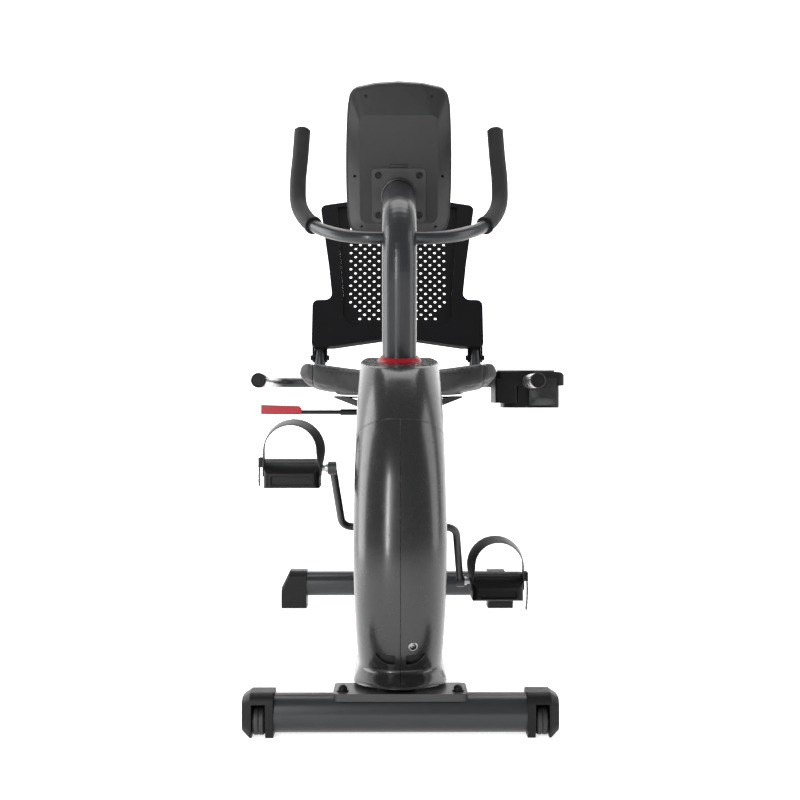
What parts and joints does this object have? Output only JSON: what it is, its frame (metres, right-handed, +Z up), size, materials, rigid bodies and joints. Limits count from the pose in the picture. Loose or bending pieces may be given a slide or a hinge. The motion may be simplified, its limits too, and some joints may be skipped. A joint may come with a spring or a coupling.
{
  "type": "recumbent exercise bike",
  "caption": "Recumbent exercise bike with a covered belt drive, curved mast with console and handlebar, sliding seat on an inclined rail, side handles, tray and adjusting lever.",
  "frame": {"origin": "on the floor, at the centre of the box around the whole bike; the bike's middle plane is at x = -37 mm, because the tray stands out on +X", "axes": "+Z up; the bike's front, with the front stabilizer, faces -Y; the rider sits at +Y and faces -Y, so the rider's left is +X"},
  "size_m": [0.7505, 1.458, 1.263],
  "materials": {
    "frame_paint": "satin charcoal metallic paint on the steel tubes",
    "dark_paint": "satin black paint on brackets and the hidden frame",
    "shroud_plastic": "satin dark grey moulded covers",
    "black_plastic": "fine-grained black moulded plastic",
    "console_plastic": "fine-grained charcoal moulded plastic",
    "back_plastic": "black moulded seat back",
    "red_plastic": "red moulded accents",
    "lens": "dark glossy display window",
    "button_rubber": "light grey silicone keys",
    "foam_grip": "black foam grip",
    "pulse_metal": "bright pulse contact grips",
    "cushion_cover": "dark grey seat cover",
    "steel": "bare machined steel",
    "cast": "turned flywheel",
    "belt_rubber": "ribbed belt",
    "wheel_rubber": "hard transport wheels",
    "nylon": "natural nylon glides",
    "rail_alu": "anodised rail",
    "strap_rubber": "moulded pedal strap",
    "bolt_black": "black oxide fasteners"
  },
  "bodies": {
    "frame": {"front_stabilizer": "frame_paint", "rear_stabilizer": "frame_paint", "front_caps": "black_plastic", "rear_caps": "black_plastic", "wheel_pins": "steel", "saddle_plate": "dark_paint", "stabilizer_bolts": "bolt_black", "low_beam": "frame_paint", "upright": "dark_paint", "flywheel_fork": "dark_paint", "flywheel_axle": "steel", "crank_bearings": "steel", "belt": "belt_rubber", "brake_motor": "black_plastic", "shroud_left": "shroud_plastic", "shroud_right": "shroud_plastic", "top_cover": "shroud_plastic", "side_discs": "black_plastic", "mast_collar": "red_plastic", "dc_inlet": "black_plastic", "mast": "frame_paint", "console_bracket": "dark_paint", "console_back": "console_plastic", "console_front": "console_plastic", "display_lens": "lens", "console_screws": "bolt_black", "upper_handlebar": "frame_paint", "handlebar_grips": "foam_grip", "seat_rail": "rail_alu", "rail_end_caps": "black_plastic", "rear_leg": "frame_paint"},
    "seat": {"seat_carriage": "dark_paint", "glide_blocks": "nylon", "seat_frame": "dark_paint", "seat_posts": "frame_paint", "seat_bolts": "bolt_black", "seat_cushion": "cushion_cover", "seat_back": "back_plastic", "back_panel": "back_plastic", "side_handles": "frame_paint", "pulse_grips": "pulse_metal", "accessory_tray": "black_plastic"},
    "lever": {"lever_rod": "bolt_black", "lever_grip": "red_plastic"},
    "crank": {"crankshaft": "dark_paint", "drive_pulley": "black_plastic", "pedal_spindles": "steel"},
    "pedal_left": {"pedal_left": "black_plastic", "strap_left": "strap_rubber"},
    "pedal_right": {"pedal_right": "black_plastic", "strap_right": "strap_rubber"},
    "flywheel": {"flywheel": "cast"},
    "idler": {"idler_wheel": "black_plastic"},
    "brake": {"brake_yoke": "steel"},
    "wheel_left": {"wheel_left": "wheel_rubber"},
    "wheel_right": {"wheel_right": "wheel_rubber"},
    "button_start": {"button_start": "button_rubber"},
    "button_mode": {"button_mode": "button_rubber"},
    "button_up": {"button_up": "button_rubber"},
    "button_down": {"button_down": "button_rubber"}
  },
  "joints": [
    {"name": "crank_spin", "type": "hinge", "parent": "frame", "child": "crank", "pos_m": [-0.037, -0.329, 0.322], "axis": [1, 0, 0], "continuous": true},
    {"name": "flywheel_spin", "type": "hinge", "parent": "frame", "child": "flywheel", "pos_m": [-0.037, -0.56, 0.312], "axis": [1, 0, 0], "continuous": true},
    {"name": "idler_spin", "type": "hinge", "parent": "frame", "child": "idler", "pos_m": [-0.037, -0.5181, 0.24315], "axis": [1, 0, 0], "continuous": true},
    {"name": "pedal_left_spin", "type": "hinge", "parent": "crank", "child": "pedal_left", "pos_m": [0.163, -0.21306, 0.19767], "axis": [1, 0, 0], "continuous": true},
    {"name": "pedal_right_spin", "type": "hinge", "parent": "crank", "child": "pedal_right", "pos_m": [-0.237, -0.44494, 0.44633], "axis": [1, 0, 0], "continuous": true},
    {"name": "brake_lift", "type": "hinge", "parent": "frame", "child": "brake", "pos_m": [-0.037, -0.447, 0.444], "axis": [-1, 0, 0], "range_deg": [0, 8]},
    {"name": "wheel_left_spin", "type": "hinge", "parent": "frame", "child": "wheel_left", "pos_m": [0.20575, -0.704, 0.026], "axis": [1, 0, 0], "continuous": true},
    {"name": "wheel_right_spin", "type": "hinge", "parent": "frame", "child": "wheel_right", "pos_m": [-0.27975, -0.704, 0.026], "axis": [1, 0, 0], "continuous": true},
    {"name": "seat_slide", "type": "slide", "parent": "frame", "child": "seat", "axis": [0, 0.9848, 0.1736], "range_m": [-0.11, 0.15]},
    {"name": "lever_lift", "type": "hinge", "parent": "seat", "child": "lever", "pos_m": [-0.125, 0.221, 0.547], "axis": [0, 1, 0], "range_deg": [0, 8], "stiffness_Nm_per_rad": 3, "springref_deg": -11.46},
    {"name": "button_start_press", "type": "slide", "parent": "frame", "child": "button_start", "axis": [0, -0.9511, -0.309], "range_m": [0, 0.0015], "stiffness_N_per_m": 400},
    {"name": "button_mode_press", "type": "slide", "parent": "frame", "child": "button_mode", "axis": [0, -0.9511, -0.309], "range_m": [0, 0.0015], "stiffness_N_per_m": 400},
    {"name": "button_up_press", "type": "slide", "parent": "frame", "child": "button_up", "axis": [0, -0.9511, -0.309], "range_m": [0, 0.0015], "stiffness_N_per_m": 400},
    {"name": "button_down_press", "type": "slide", "parent": "frame", "child": "button_down", "axis": [0, -0.9511, -0.309], "range_m": [0, 0.0015], "stiffness_N_per_m": 400}
  ],
  "couplings": [
    {"joint": "flywheel_spin", "follows": "crank_spin", "ratio": 6.5},
    {"joint": "idler_spin", "follows": "crank_spin", "ratio": -6.5}
  ]
}
